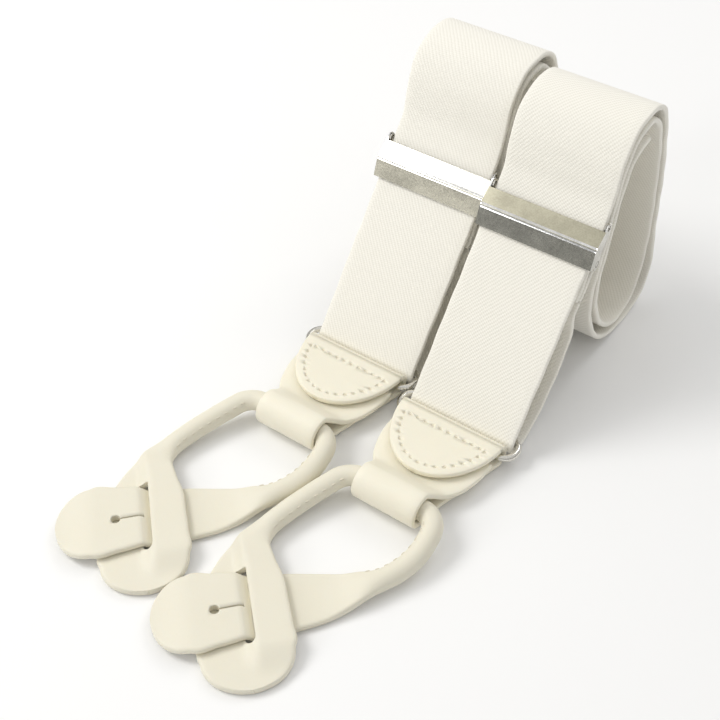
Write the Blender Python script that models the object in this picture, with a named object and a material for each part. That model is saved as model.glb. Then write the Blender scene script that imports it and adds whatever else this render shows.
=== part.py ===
"""A pair of white button-on suspenders: two webbing straps rolled up together, each with a nickel slide
adjuster, a wire ring, a folded leather tongue and a leather runner whose two buttonhole tabs are locked
through one another. Metres, Z up, origin on the table under the middle of the object."""

import math

import bmesh
import bpy
import numpy as np
from mathutils import Matrix, Vector

MM = 0.001
GAP = 0.3

# Where each side stands on the table (mm)
SPACING = 38.6
WEB_SHIFT = 0.5
MIDDLE_X = 7.05
RING_Y = 4.73
LEFT_SETBACK = 6.8

# Webbing
WEB_WIDTH = 34.4
WEB = 1.7

# Ring of round wire
WIRE = 2.1
BACK_BAR = (3.6, 4.0)
FRONT_BAR = (-4.0, 4.0)
RING_HALF_WIDTH = 19.2
RING_CORNER = 3.5

# Front run of the strap, from the ring up to the roll
RUN_SLOPE = math.radians(51.4)
RUN_LENGTH = 67.0
BEND_RADIUS = WIRE / 2 + 1.0 + WEB / 2

# Slide adjuster, measured along the run and out from it
ADJUSTER_DROP = {"right": 2.7, "left": 5.5}
CREASE = 61.5
COVER_HALF = 5.8
SHEET = 0.45
PIVOT = (68.2, 0.6)
BAR = (57.9, -3.9)
BAR_RADIUS = 0.8
PIN_RADIUS = 0.55
CHEEK = (17.45, 17.8)
EAR = (18.02, 18.38)

# Leather
LEATHER = 1.8
CORD_RADIUS = 3.0
CORD_AXIS = (-34.0, 6.0)
TAB = 2.0
TAB_LOW = 1.0
TAB_HIGH = 3.35
TONGUE_SHIFT = -0.4
LOOP_HALF = 10.2

# Front layer of the tongue: (y, z, half width) from the cord up to its tucked end, flaring as it goes
TUCKED = ((-27.6, 6.2, 10.8), (-25.4, 4.6, 11.8), (-22.0, 4.02, 13.5), (-15.0, 4.0, 16.0), (-8.2, 4.0, 16.8))

# Route of the webbing round the roll, (y, z) from under the ring; the last lap ends inside the roll
ROLL = (
    (45.4, 62.3), (46.9, 68.0), (48.5, 73.6), (51.4, 78.3), (56.0, 81.3), (61.5, 82.3),
    (67.0, 81.8), (71.6, 79.2), (75.0, 73.8), (77.6, 66.2), (80.4, 56.8), (82.0, 47.4),
    (83.4, 38.0), (85.2, 26.2), (87.6, 14.4), (86.0, 5.4), (79.6, 1.4), (71.0, 1.0),
    (63.0, 2.0), (55.6, 5.2), (49.4, 11.0), (44.8, 18.6), (42.2, 27.0), (42.0, 34.4),
    (43.4, 41.6), (45.2, 48.4), (46.6, 55.0), (48.0, 61.0), (49.4, 66.6), (51.3, 72.0),
    (54.6, 76.3), (59.6, 78.6), (65.4, 78.6), (69.8, 75.4), (72.8, 69.6), (75.0, 62.0),
    (77.0, 53.0), (78.4, 44.0), (79.6, 34.6), (80.2, 24.8), (79.0, 15.4), (75.2, 8.2),
    (68.6, 5.0), (61.4, 6.4), (55.0, 11.0), (49.8, 17.6), (46.4, 25.2), (45.2, 32.8),
    (45.8, 39.8), (47.5, 46.6), (49.0, 53.0), (50.4, 59.0), (52.2, 65.0), (55.0, 70.2),
    (59.4, 72.9), (64.4, 73.3),
)

# Return layer of the webbing, from the ring back up to the adjuster
RETURN = ((4.5, 1.2), (9.0, 1.8), (15.0, 4.6), (21.6, 10.2), (27.6, 18.0), (32.2, 26.4))

# Runner: (x, y, z, half width, half thickness) along its middle line, from the tip of one tab to the other
LONG_TAB = (
    (-3.4, -34.0, 6.0, 2.6, 2.6), (-1.4, -34.0, 6.0, 3.0, 3.0), (7.0, -34.0, 6.0, 3.0, 3.0),
    (11.2, -34.0, 6.0, 3.0, 3.0), (14.4, -36.6, 5.7, 3.0, 3.0), (15.6, -41.6, 5.0, 3.0, 3.0),
    (15.5, -47.2, 4.1, 3.0, 3.0), (14.2, -52.2, 3.4, 3.0, 3.0), (11.6, -57.6, 3.1, 3.1, 2.8),
    (7.4, -63.2, 3.4, 4.8, 1.7), (2.2, -68.8, 1.4, 7.2, 1.0), (-3.2, -74.2, 1.0, 8.6, 1.0),
    (-8.0, -79.0, 1.0, 9.0, 1.0), (-12.5, -83.6, 1.0, 9.2, 1.0), (-17.2, -88.6, 1.0, 10.9, 1.0),
    (-22.4, -93.8, 1.0, 11.3, 1.0),
)
LONG_TIP = (-29.2, -100.4)
LONG_HOLE = (-17.1, -89.4)
LEFT_NUDGE = -1.6
SHORT_TAB = (
    (-1.6, -34.0, 6.0, 3.0, 3.0), (-8.0, -34.0, 6.0, 3.0, 3.0), (-11.8, -34.0, 6.0, 3.0, 3.0),
    (-15.3, -36.3, 5.7, 3.0, 3.0), (-17.6, -41.2, 5.0, 3.0, 3.0), (-19.7, -47.2, 4.3, 3.0, 3.0),
    (-21.6, -53.4, 3.6, 3.0, 3.0), (-22.9, -59.6, 3.0, 3.1, 2.8), (-22.8, -65.6, 2.4, 4.4, 1.8),
    (-20.5, -71.8, 2.1, 7.7, 1.2), (-16.7, -78.0, 2.1, 10.7, 1.0), (-12.3, -84.2, 2.1, 12.0, 1.0),
    (-7.4, -89.2, 1.6, 12.2, 1.0), (-2.8, -93.9, 1.0, 11.9, 1.0),
)
SHORT_TIP = (4.0, -100.6)
SHORT_HOLE = (-4.9, -90.2)
SLIT_ALONG = (0.717, -0.697)
SLIT_LENGTH = 21.0
SLIT_HALF = 1.4
HOLE_RADIUS = 1.3
TIP_DEPTH = 9.5
SECTION = 16

RUN_ALONG = (math.cos(RUN_SLOPE), math.sin(RUN_SLOPE))
RUN_OUT = (-math.sin(RUN_SLOPE), math.cos(RUN_SLOPE))
RUN_START = (
    BACK_BAR[0] + BEND_RADIUS * RUN_OUT[0],
    BACK_BAR[1] + BEND_RADIUS * RUN_OUT[1],
)


# ---------- scene, materials and small helpers ----------

for old in list(bpy.data.objects):
    bpy.data.objects.remove(old)

model = bpy.data.collections.new("Suspenders")
bpy.context.scene.collection.children.link(model)
cutters = bpy.data.collections.new("Cutters")
cutters.hide_render = True
bpy.context.scene.collection.children.link(cutters)


def make_material(name, color, metallic, roughness):
    made = bpy.data.materials.new(name)
    made.use_nodes = True
    shader = made.node_tree.nodes["Principled BSDF"]
    shader.inputs["Base Color"].default_value = (*color, 1.0)
    shader.inputs["Metallic"].default_value = metallic
    shader.inputs["Roughness"].default_value = roughness
    return made


WEBBING = make_material("white_webbing", (0.86, 0.84, 0.80), 0.0, 0.85)
NICKEL = make_material("nickel_plate", (0.78, 0.75, 0.70), 1.0, 0.16)
HIDE = make_material("ivory_leather", (0.84, 0.79, 0.68), 0.0, 0.55)


def add_object(name, data, material, group=None):
    made = bpy.data.objects.new(name, data)
    (group or model).objects.link(made)
    if material:
        data.materials.append(material)
    return made


def smooth_route(points, step):
    """A smooth line through the points, with one point about every step."""
    route = [np.array(point, float) for point in points]
    ends = [2 * route[0] - route[1], *route, 2 * route[-1] - route[-2]]
    found = []
    for a, b, c, d in zip(ends, ends[1:], ends[2:], ends[3:]):
        times = [0.0]
        for first, second in ((a, b), (b, c), (c, d)):
            times.append(times[-1] + np.linalg.norm((second - first)[:3]) ** 0.5)
        t0, t1, t2, t3 = times
        count = max(1, math.ceil(np.linalg.norm((c - b)[:3]) / step))
        for index in range(count):
            t = t1 + (t2 - t1) * index / count
            ab = (t1 - t) / (t1 - t0) * a + (t - t0) / (t1 - t0) * b
            bc = (t2 - t) / (t2 - t1) * b + (t - t1) / (t2 - t1) * c
            cd = (t3 - t) / (t3 - t2) * c + (t - t2) / (t3 - t2) * d
            abc = (t2 - t) / (t2 - t0) * ab + (t - t0) / (t2 - t0) * bc
            bcd = (t3 - t) / (t3 - t1) * bc + (t - t1) / (t3 - t1) * cd
            found.append((t2 - t) / (t2 - t1) * abc + (t - t1) / (t2 - t1) * bcd)
    found.append(route[-1])
    return found


def arc(center, radius, start, stop, count):
    """Points round a centre from one angle to another, in degrees."""
    angles = np.radians(np.linspace(start, stop, count))
    return [(center[0] + radius * math.cos(a), center[1] + radius * math.sin(a)) for a in angles]


def on_run(along, out):
    """(y, z) of a place given along the front run and out from its middle."""
    return (
        RUN_START[0] + along * RUN_ALONG[0] + out * RUN_OUT[0],
        RUN_START[1] + along * RUN_ALONG[1] + out * RUN_OUT[1],
    )


def band_outline(route, thickness):
    """Closed outline of a band of this thickness along a route in the (y, z) plane."""
    route = np.array(route, float)
    ahead = np.gradient(route, axis=0)
    ahead /= np.linalg.norm(ahead, axis=1)[:, None]
    side = np.stack([-ahead[:, 1], ahead[:, 0]], axis=1) * thickness / 2
    return [*map(tuple, route + side), *map(tuple, (route - side)[::-1])]


def extrude_across(name, outline, x_from, x_to, material, place, group=None):
    """A flat outline in the (y, z) plane, given its width across X."""
    curve = bpy.data.curves.new(name, "CURVE")
    curve.dimensions = "2D"
    curve.fill_mode = "BOTH"
    curve.extrude = (x_to - x_from) / 2 * MM
    line = curve.splines.new("POLY")
    line.points.add(len(outline) - 1)
    for point, (y, z) in zip(line.points, outline):
        point.co = (y * MM, z * MM, 0.0, 1.0)
    line.use_cyclic_u = True
    made = add_object(name, curve, material, group)
    turn = Matrix(((0, 0, 1), (1, 0, 0), (0, 1, 0))).to_euler()
    made.rotation_euler = turn
    made.location = place + Vector(((x_from + x_to) / 2 * MM, 0, 0))
    return made


def as_mesh(made):
    """The same object with its curve turned into a mesh."""
    bpy.context.view_layer.update()
    graph = bpy.context.evaluated_depsgraph_get()
    mesh = bpy.data.meshes.new_from_object(made.evaluated_get(graph))
    name, group, where = made.name, made.users_collection[0], made.matrix_world.copy()
    bpy.data.objects.remove(made)
    build = bmesh.new()
    build.from_mesh(mesh)
    bmesh.ops.remove_doubles(build, verts=build.verts, dist=1e-6)
    bmesh.ops.recalc_face_normals(build, faces=build.faces)
    build.to_mesh(mesh)
    build.free()
    mesh.name = name
    solid = bpy.data.objects.new(name, mesh)
    group.objects.link(solid)
    solid.matrix_world = where
    return solid


def boolean(made, other, operation):
    modifier = made.modifiers.new(operation.title(), "BOOLEAN")
    modifier.operation = operation
    modifier.solver = "EXACT"
    modifier.object = other


def helper(made):
    made.display_type = "WIRE"
    made.hide_render = True
    return made


def rod(name, start, end, radius, sides, material, group=None):
    """A straight round bar between two points."""
    curve = bpy.data.curves.new(name, "CURVE")
    curve.dimensions = "3D"
    curve.bevel_depth = radius * MM
    curve.bevel_resolution = sides
    curve.use_fill_caps = True
    line = curve.splines.new("POLY")
    line.points.add(1)
    middle = (Vector(start) + Vector(end)) / 2
    for point, spot in zip(line.points, (start, end)):
        point.co = (*(Vector(spot) - middle), 1.0)
    made = add_object(name, curve, material, group)
    made.location = middle
    return made


def loft(name, rings, material, place):
    """A closed skin through rings that all have the same number of points."""
    build = bmesh.new()
    levels = [[build.verts.new(Vector(point) * MM) for point in ring] for ring in rings]
    count = len(rings[0])
    for low, high in zip(levels, levels[1:]):
        for i in range(count):
            j = (i + 1) % count
            build.faces.new((low[i], low[j], high[j], high[i]))
    build.faces.new(levels[0][::-1])
    build.faces.new(levels[-1])
    bmesh.ops.recalc_face_normals(build, faces=build.faces)
    mesh = bpy.data.meshes.new(name)
    build.to_mesh(mesh)
    build.free()
    made = add_object(name, mesh, material)
    made.location = place
    return made


def lowered(side, place):
    """Where an adjuster's own drawing goes, moved down its run."""
    drop = ADJUSTER_DROP[side] * MM
    return place - Vector((0, RUN_ALONG[0], RUN_ALONG[1])) * drop


# ---------- webbing ----------


def return_points(side):
    """The slack layer from the ring to the adjuster, shorter where the adjuster sits lower."""
    drop = ADJUSTER_DROP[side]
    shares = [1 - drop / 60 * min(1.0, index / 2) for index in range(len(RETURN))]
    rising = [(y * share, z * share) for (y, z), share in zip(RETURN, shares)]
    return [*rising, on_run(42.0 - drop, -6.35), on_run(46.0 - drop, -5.95)]


def strap_route():
    """Round the ring's back bar, up the front run and round the roll."""
    out_angle = 90 + math.degrees(RUN_SLOPE)
    bend = arc(BACK_BAR, BEND_RADIUS, 262, out_angle, 9)
    straight = [on_run(RUN_LENGTH * part, 0) for part in (0.12, 0.5, 0.9)]
    last = [on_run(RUN_LENGTH, 0)]
    return bend + straight + [tuple(p) for p in smooth_route([*last, *ROLL], 3.6)]


def build_webbing(side, place):
    half = WEB_WIDTH / 2
    outline = band_outline(strap_route(), WEB)
    extrude_across(f"{side}_strap", outline, -half, half, WEBBING, place)

    tail = [on_run(46.0, -2.95), on_run(50.0, -2.95), on_run(54.0, -2.6)]
    around = []
    for angle in range(90, -91, -20):
        turn = math.radians(angle)
        reach = BAR_RADIUS + 0.25 + WEB / 2
        around.append(on_run(BAR[0] + reach * math.cos(turn), BAR[1] + reach * math.sin(turn)))
    rear = [on_run(54.4, -5.85), on_run(50.4, -5.75), on_run(46.4, -5.9)]
    loop_route = smooth_route(tail + around + rear, 1.6)
    outline = band_outline(loop_route, WEB)
    extrude_across(f"{side}_end_loop", outline, -half, half, WEBBING, lowered(side, place))

    outline = band_outline(smooth_route(return_points(side), 4.0), WEB)
    extrude_across(f"{side}_return_run", outline, -half, half, WEBBING, place)


# ---------- nickel hardware ----------


def build_ring(side, place):
    curve = bpy.data.curves.new(f"{side}_ring", "CURVE")
    curve.dimensions = "3D"
    curve.bevel_depth = WIRE / 2 * MM
    curve.bevel_resolution = 2
    depth = (BACK_BAR[0] - FRONT_BAR[0]) / 2
    inset_x = RING_HALF_WIDTH - RING_CORNER
    inset_y = depth - RING_CORNER
    corners = ((1, 1, 0), (-1, 1, 90), (-1, -1, 180), (1, -1, 270))
    spots = []
    for sign_x, sign_y, start in corners:
        center = (sign_x * inset_x, sign_y * inset_y)
        spots += arc(center, RING_CORNER, start, start + 90, 6)
    line = curve.splines.new("POLY")
    line.points.add(len(spots) - 1)
    for point, (x, y) in zip(line.points, spots):
        point.co = (x * MM, (y - depth) * MM, 0.0, 1.0)
    line.use_cyclic_u = True
    made = add_object(f"{side}_ring", curve, NICKEL)
    made.location = place + Vector((0, BACK_BAR[0], BACK_BAR[1])) * MM


def run_outline(spots):
    return [on_run(along, out) for along, out in spots]


def build_adjuster(side, place):
    # Cover: a creased plate in front of the webbing, with an ear folded back at each end
    low, high = CREASE - COVER_HALF, CREASE + COVER_HALF - 0.3
    plate = (
        (low, 1.3), (CREASE, 3.3), (high, 1.6), (high, 1.6 + SHEET),
        (CREASE, 3.3 + SHEET), (low, 1.3 + SHEET),
    )
    ear = (
        (low, 1.3 + SHEET), (low, 0.2), (low + 2.6, -0.9), (low + 3.6, 0.3), (low + 4.8, -1.5),
        (PIVOT[0] - 1.2, -1.5), (PIVOT[0] + 1.3, -0.6), (PIVOT[0] + 1.5, 0.6),
        (PIVOT[0] + 0.9, 1.7), (high, 1.6 + SHEET), (CREASE, 3.3 + SHEET),
    )
    cover = extrude_across(
        f"{side}_adjuster_cover", run_outline(plate), -EAR[1], EAR[1], NICKEL, place
    )
    cover = as_mesh(cover)
    pivot = on_run(*PIVOT)
    for end, sign in (("a", 1), ("b", -1)):
        span = sorted((sign * EAR[0], sign * EAR[1]))
        flank = extrude_across(f"cut_{side}_ear_{end}", run_outline(ear), *span, None, place, cutters)
        boolean(cover, helper(as_mesh(flank)), "UNION")
    pivot_y, pivot_z = pivot[0] * MM, pivot[1] * MM
    start = place + Vector((-25 * MM, pivot_y, pivot_z))
    end = place + Vector((25 * MM, pivot_y, pivot_z))
    drill = as_mesh(rod(f"cut_{side}_pivot", start, end, PIN_RADIUS + 0.25, 3, None, cutters))
    boolean(cover, helper(drill), "DIFFERENCE")
    move_origin(cover, place + Vector((0, pivot_y, pivot_z)))

    # Frame: a plate behind the webbing between two cheeks that hold the bar and the pivots
    back = ((62.2, -1.25), (67.2, -1.25), (67.2, -1.9), (62.2, -1.9))
    cheek = (
        (55.9, -3.4), (55.9, -4.6), (57.0, -5.4), (58.8, -5.4), (60.0, -4.4), (62.6, -2.5),
        (67.0, -2.3), (69.0, -0.9), (69.5, 0.6), (68.9, 1.7), (67.5, 1.7), (66.4, 0.4),
        (65.0, -1.0), (58.4, -2.2), (56.8, -2.5),
    )
    frame = extrude_across(
        f"{side}_adjuster_frame", run_outline(back), -CHEEK[1], CHEEK[1], NICKEL, place
    )
    frame = as_mesh(frame)
    for end, sign in (("a", 1), ("b", -1)):
        span = sorted((sign * CHEEK[0], sign * CHEEK[1]))
        name = f"cut_{side}_cheek_{end}"
        flank = extrude_across(name, run_outline(cheek), *span, None, place, cutters)
        boolean(frame, helper(as_mesh(flank)), "UNION")
    boolean(frame, drill, "DIFFERENCE")
    bar_y, bar_z = (value * MM for value in on_run(*BAR))
    start = place + Vector((-25 * MM, bar_y, bar_z))
    end = place + Vector((25 * MM, bar_y, bar_z))
    bore = as_mesh(rod(f"cut_{side}_bar", start, end, BAR_RADIUS + 0.25, 3, None, cutters))
    boolean(frame, helper(bore), "DIFFERENCE")

    reach = CHEEK[1] - 0.02
    start = place + Vector((-reach * MM, bar_y, bar_z))
    end = place + Vector((reach * MM, bar_y, bar_z))
    rod(f"{side}_adjuster_bar", start, end, BAR_RADIUS, 3, NICKEL)
    for end_name, sign in (("outer", 1), ("inner", -1)):
        start = place + Vector((sign * (CHEEK[0] + 0.02) * MM, pivot_y, pivot_z))
        end = place + Vector((sign * (EAR[1] + 0.06) * MM, pivot_y, pivot_z))
        rod(f"{side}_pivot_{end_name}", start, end, PIN_RADIUS, 3, NICKEL)


def move_origin(made, spot):
    """Put an object's origin at a spot without moving its shape."""
    bpy.context.view_layer.update()
    shift = made.matrix_world.inverted() @ spot
    made.data.transform(Matrix.Translation(-shift))
    made.location = spot


# ---------- leather ----------


def tongue_rings():
    """The strip from the end of the rounded flap, over the ring's bar and round the cord, to the tucked end."""
    wrap = WIRE / 2 + 0.75 + LEATHER / 2
    top = FRONT_BAR[1] + wrap
    low = FRONT_BAR[1] - wrap
    flap = [(-24.0 + 22.5 * part, top) for part in (0.0, 0.03, 0.12, 0.26, 0.42, 0.58, 0.75)]
    fold = arc(FRONT_BAR, wrap, 90, -90, 9)
    under = [(-12.0, low), (-20.0, low), (-26.0, low + 0.02)]
    turn = CORD_RADIUS + 0.55 + LEATHER / 2
    wrap_cord = arc(CORD_AXIS, turn, -72, -252, 13)
    wrap_cord += arc(CORD_AXIS, turn, -268, -310, 3)
    route = flap + fold + under + wrap_cord + [(y, z) for y, z, _ in TUCKED]
    line = np.array(route)
    ahead = np.gradient(line, axis=0)
    ahead /= np.linalg.norm(ahead, axis=1)[:, None]
    rings = []
    for index, ((y, z), (dy, dz)) in enumerate(zip(route, ahead)):
        if index < len(flap):
            depth = min(1.0, (y + 24.0) / 22.5)
            half = 17.0 * math.sqrt(max(0.0, 1 - (1 - depth) ** 2)) + 1.2 * (1 - depth)
            half = max(half, 1.4)
        elif index < len(flap) + len(fold):
            half = 17.0
        else:
            reach = min(1.0, max(0.0, (-4.0 - y) / 26.0))
            half = 17.0 - 6.8 * reach
        if index >= len(flap) + len(fold) + len(under):
            half = LOOP_HALF
        if index >= len(route) - len(TUCKED):
            half = TUCKED[index - len(route)][2]
        ny, nz = -dz * LEATHER / 2, dy * LEATHER / 2
        left, right = TONGUE_SHIFT - half, TONGUE_SHIFT + half
        rings.append(
            [
                (left, y + ny, z + nz),
                (right, y + ny, z + nz),
                (right, y - ny, z - nz),
                (left, y - ny, z - nz),
            ]
        )
    return rings


def slit_place(x, y):
    """(along, across) of a place, measured from the short tab's buttonhole along its slit."""
    dx, dy = x - SHORT_HOLE[0], y - SHORT_HOLE[1]
    along = dx * SLIT_ALONG[0] + dy * SLIT_ALONG[1]
    return along, -dx * SLIT_ALONG[1] + dy * SLIT_ALONG[0]


def ease(value, low, high):
    part = min(1.0, max(0.0, (value - low) / (high - low)))
    return part * part * (3 - 2 * part)


def section_points(half, thick):
    """Points of an oval and of a flat strip with eased edges, in matching order."""
    edge = ((half, 0.45 * thick), (half - 0.5, thick), (half * 0.55, thick), (half * 0.18, thick))
    found = []
    for step in range(SECTION):
        angle = 2 * math.pi * (step + 0.5) / SECTION
        quarter, place = divmod(step, 4)
        box_x, box_z = edge[place if quarter in (0, 2) else 3 - place]
        box_x = math.copysign(box_x, math.cos(angle))
        box_z = math.copysign(box_z, math.sin(angle))
        found.append((half * math.cos(angle), thick * math.sin(angle), box_x, box_z))
    return found


def tab_rings(stations, tip, is_long):
    """Sections of one arm of the runner, from its round cord to the end of its flat tab."""
    line = smooth_route([*stations, (*tip, 1.0, 0.0, TAB / 2)], 1.5)
    last = np.array(tip)
    broad = stations[-1][3]
    found = []
    for index, (x, y, z, half, thick) in enumerate(line):
        before = line[max(0, index - 1)]
        after = line[min(len(line) - 1, index + 1)]
        ahead = (after - before)[:2]
        left = np.array([-ahead[1], ahead[0]]) / np.linalg.norm(ahead)
        flat = ease(half - thick, 0.0, 5.0)
        to_tip = np.linalg.norm(last - (x, y))
        if to_tip < TIP_DEPTH:
            depth = 1 - to_tip / TIP_DEPTH
            half = max(1.8, broad * math.sqrt(1 - depth * depth))
            thick = TAB / 2
            flat = 1.0
        ring = []
        for round_x, round_z, box_x, box_z in section_points(half, thick):
            wide = round_x * (1 - flat) + box_x * flat
            tall = round_z * (1 - flat) + box_z * flat
            px, py = x + left[0] * wide, y + left[1] * wide
            base = lift(px, py, z, flat, is_long) + (thick - TAB / 2) * flat
            ring.append((px, py, base + tall))
        found.append(ring)
    return found


def lift(x, y, z, flat, is_long):
    """Height of the tab's middle: the two tabs step over one another along the slit."""
    along, across = slit_place(x, y)
    rise = TAB_HIGH - TAB_LOW
    if is_long:
        step = min(1.0, max(0.0, (SLIT_HALF - across) / (2 * SLIT_HALF)))
        droop = 1.5 * ease(-across, 13.0, 25.0)
        level = TAB_LOW + rise * step - droop
        return z * (1 - flat) + level * flat if flat < 1 else level
    step = min(1.0, max(0.0, (across + SLIT_HALF) / (2 * SLIT_HALF)))
    near = ease(along, 11.0, 2.0) if along > 2.0 else 1.0
    level = TAB_LOW + rise * step * near
    return z * (1 - flat) + level * flat


def runner_tab(end, stations, tip, hole, direction, length, half):
    """One arm of the runner and its flat tab, with its buttonhole and slit cut through."""
    tab = loft(f"cut_{end}_tab", tab_rings(stations, tip, end == "long"), None, Vector())
    model.objects.unlink(tab)
    cutters.objects.link(tab)
    x, y = hole
    foot, head = Vector((x, y, -4.0)) * MM, Vector((x, y, 12.0)) * MM
    opening = rod(f"cut_{end}_hole", foot, head, HOLE_RADIUS, 3, None, cutters)
    boolean(tab, helper(as_mesh(opening)), "DIFFERENCE")
    mesh = bpy.data.meshes.new(f"cut_{end}_slit")
    build = bmesh.new()
    bmesh.ops.create_cube(build, size=1.0)
    build.to_mesh(mesh)
    build.free()
    slit = add_object(mesh.name, mesh, None, cutters)
    slit.scale = (length * MM, 2 * half * MM, 0.016)
    slit.rotation_euler = (0, 0, math.atan2(direction[1], direction[0]))
    slit.location = Vector((x + direction[0] * length / 2, y + direction[1] * length / 2, 4.0)) * MM
    boolean(tab, helper(slit), "DIFFERENCE")
    return helper(tab)


def runner_mesh():
    """Both arms joined in one shape, with its origin in the middle of the round cord."""
    back = (-SLIT_ALONG[0], -SLIT_ALONG[1])
    long_tab = runner_tab("long", LONG_TAB, LONG_TIP, LONG_HOLE, (0.67, 0.74), 7.0, 0.35)
    short_tab = runner_tab("short", SHORT_TAB, SHORT_TIP, SHORT_HOLE, back, SLIT_LENGTH, SLIT_HALF)
    boolean(short_tab, long_tab, "UNION")
    short_tab.modifiers[-1].use_self = True
    bpy.context.view_layer.update()
    graph = bpy.context.evaluated_depsgraph_get()
    mesh = bpy.data.meshes.new_from_object(short_tab.evaluated_get(graph))
    mesh.transform(Matrix.Translation(Vector((0, *CORD_AXIS)) * -MM))
    return mesh


# ---------- hidden back parts, inside the roll ----------


def build_back_parts():
    middle = Vector((MIDDLE_X, RING_Y, 0)) * MM
    thick = 1.6
    plan = ((-35, 67), (-1, 67), (-1, 60.6), (27, 60.6), (27, 71.0), (-35, 71.0))
    curve = bpy.data.curves.new("crosspatch", "CURVE")
    curve.dimensions = "2D"
    curve.fill_mode = "BOTH"
    curve.extrude = thick / 2 * MM
    line = curve.splines.new("POLY")
    line.points.add(len(plan) - 1)
    for point, (x, y) in zip(line.points, plan):
        point.co = (x * MM, y * MM, 0.0, 1.0)
    line.use_cyclic_u = True
    made = add_object("crosspatch", curve, HIDE)
    made.location = middle + Vector((0, 0, 70.8 * MM))

    drop = (
        (70.6, 68.7), (67.2, 68.7), (64.8, 67.4), (63.6, 64.0), (63.2, 54.0), (64.2, 42.0),
        (66.0, 30.0), (66.4, 20.0),
    )
    outline = band_outline(smooth_route(drop, 3.0), WEB)
    extrude_across("back_strap", outline, -17.0, 17.0, WEBBING, middle)

    drop = ((66.1, 41.0), (67.6, 32.0), (68.4, 24.0), (68.4, 13.0))
    outline = band_outline(smooth_route(drop, 4.0), thick)
    extrude_across("back_end", outline, -13.0, 13.0, HIDE, middle)


# ---------- assembly ----------

runner = runner_mesh()
for side, sign in (("right", 1), ("left", -1)):
    setback = LEFT_SETBACK if side == "left" else 0.0
    stand = Vector((MIDDLE_X + sign * SPACING / 2, RING_Y + setback, 0)) * MM
    across = stand + Vector((WEB_SHIFT, 0, 0)) * MM
    build_webbing(side, across)
    build_ring(side, stand)
    build_adjuster(side, lowered(side, across))
    tongue = loft(f"{side}_tongue", tongue_rings(), HIDE, stand)
    move_origin(tongue, stand + Vector((0, *FRONT_BAR)) * MM)
    made = add_object(f"{side}_runner", runner.copy(), HIDE)
    nudge = LEFT_NUDGE if side == "left" else 0.0
    made.location = stand + Vector((nudge, *CORD_AXIS)) * MM

build_back_parts()
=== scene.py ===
"""Looks for the rolled white button-on suspenders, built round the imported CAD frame."""

import math
import bmesh
import bpy
import numpy as np
from mathutils import Matrix, Vector


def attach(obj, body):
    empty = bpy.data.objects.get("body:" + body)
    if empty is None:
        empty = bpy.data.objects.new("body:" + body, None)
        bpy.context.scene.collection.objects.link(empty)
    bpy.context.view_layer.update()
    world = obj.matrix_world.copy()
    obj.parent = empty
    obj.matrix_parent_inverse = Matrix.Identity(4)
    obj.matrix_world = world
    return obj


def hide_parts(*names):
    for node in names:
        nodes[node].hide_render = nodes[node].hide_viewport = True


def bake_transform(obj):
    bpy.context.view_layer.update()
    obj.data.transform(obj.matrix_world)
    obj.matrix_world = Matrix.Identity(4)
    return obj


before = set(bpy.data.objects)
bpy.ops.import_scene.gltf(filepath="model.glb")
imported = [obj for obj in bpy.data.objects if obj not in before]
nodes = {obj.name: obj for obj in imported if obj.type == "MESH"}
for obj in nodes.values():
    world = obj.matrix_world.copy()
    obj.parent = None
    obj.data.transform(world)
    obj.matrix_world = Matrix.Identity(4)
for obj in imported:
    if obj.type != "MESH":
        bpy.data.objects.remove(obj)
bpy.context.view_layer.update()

# ---------- sizes, as in part.py (mm) ----------

MM = 0.001
SPACING = 38.6
WEB_SHIFT = 0.5
MIDDLE_X = 7.05
RING_Y = 4.73
LEFT_SETBACK = 6.8
WEB_WIDTH = 34.4
WEB = 1.7
WIRE = 2.1
BACK_BAR = (3.6, 4.0)
FRONT_BAR = (-4.0, 4.0)
RING_HALF_WIDTH = 19.2
RING_CORNER = 3.5
RUN_SLOPE = math.radians(51.4)
RUN_LENGTH = 67.0
BEND_RADIUS = WIRE / 2 + 1.0 + WEB / 2
ADJUSTER_DROP = {"right": 2.7, "left": 5.5}
CREASE = 61.5
COVER_HALF = 5.8
SHEET = 0.45
# Heights of the cover's under side: at its crease, its lower edge and its upper edge
CROWN = 3.3
LOW_EDGE = 1.3
HIGH_EDGE = 1.6
PIVOT = (68.2, 0.6)
BAR = (57.9, -3.9)
BAR_RADIUS = 0.8
EAR = (18.02, 18.38)
PIN_STEP = 0.06
LEATHER = 1.8
CORD_RADIUS = 3.0
CORD_AXIS = (-34.0, 6.0)
TAB = 2.0
TAB_LOW = 1.0
TAB_HIGH = 3.35
TONGUE_SHIFT = -0.4
FLAP_TIP = -24.0
FLAP_LENGTH = 22.5
TONGUE_HALF = 17.0
LOOP_HALF = 10.2
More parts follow.
